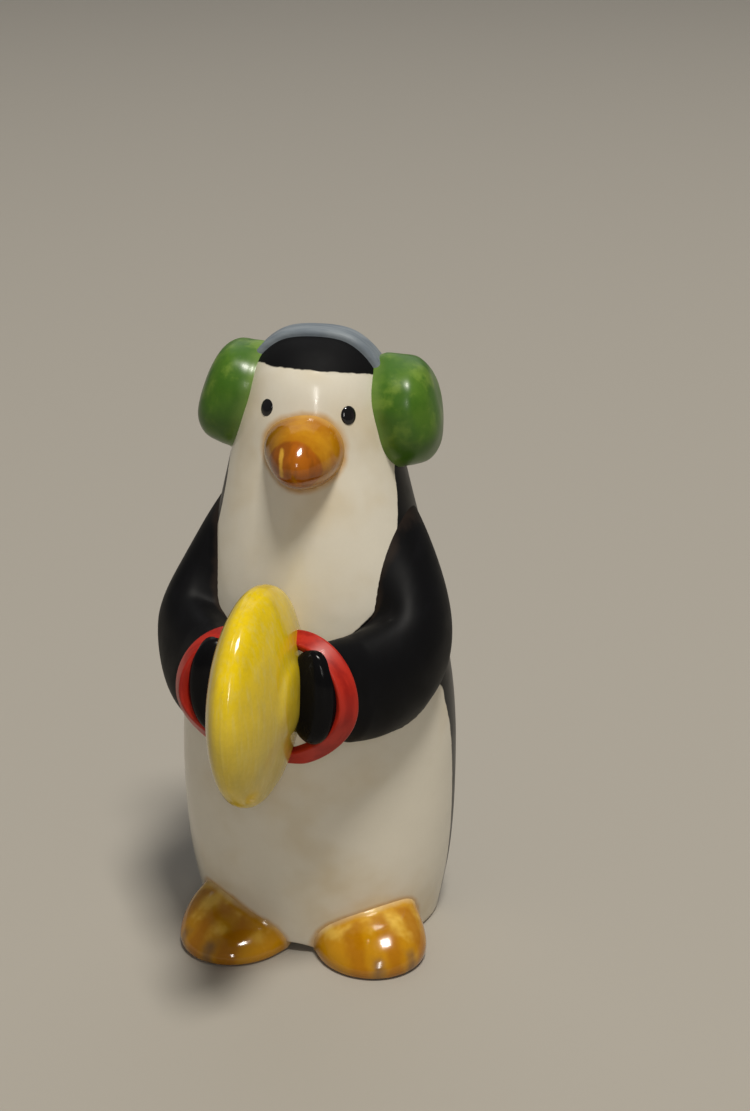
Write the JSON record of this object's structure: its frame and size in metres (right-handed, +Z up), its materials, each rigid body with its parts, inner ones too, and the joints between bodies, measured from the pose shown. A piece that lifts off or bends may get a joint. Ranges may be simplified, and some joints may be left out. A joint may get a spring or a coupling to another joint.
{
  "type": "penguin figurine",
  "caption": "Hollow glazed ceramic penguin in ear muffs and a headband, its flippers strapped to cymbals clapped together at its chest; a small ornament that stands on a flat foot ring.",
  "frame": {"origin": "on the trunk's axis, at the level of the foot ring that the figurine stands on", "axes": "+Z up, -Y the way the penguin faces, +X towards the penguin's own left"},
  "size_m": [0.0354, 0.0511, 0.0726],
  "materials": {
    "ivory_glaze": "ivory earthenware glaze, glossy, with the back and crown brushed black",
    "black_glaze": "black underglaze colour, glossy",
    "green_glaze": "leaf green underglaze colour with paler mottles, glossy",
    "blue_grey_glaze": "pale slate blue-grey underglaze colour, glossy",
    "amber_glaze": "amber underglaze colour with brown strokes, glossy",
    "yellow_glaze": "lemon yellow underglaze colour in brush strokes, glossy",
    "red_glaze": "coral red underglaze colour, glossy"
  },
  "bodies": {
    "root": {"body": "ivory_glaze", "left_flipper": "black_glaze", "right_flipper": "black_glaze", "left_foot": "amber_glaze", "right_foot": "amber_glaze", "beak": "amber_glaze", "left_eye": "black_glaze", "right_eye": "black_glaze", "left_ear_muff": "green_glaze", "right_ear_muff": "green_glaze", "headband": "blue_grey_glaze", "left_cymbal": "yellow_glaze", "right_cymbal": "yellow_glaze", "left_strap": "red_glaze", "right_strap": "red_glaze"}
  },
  "joints": []
}
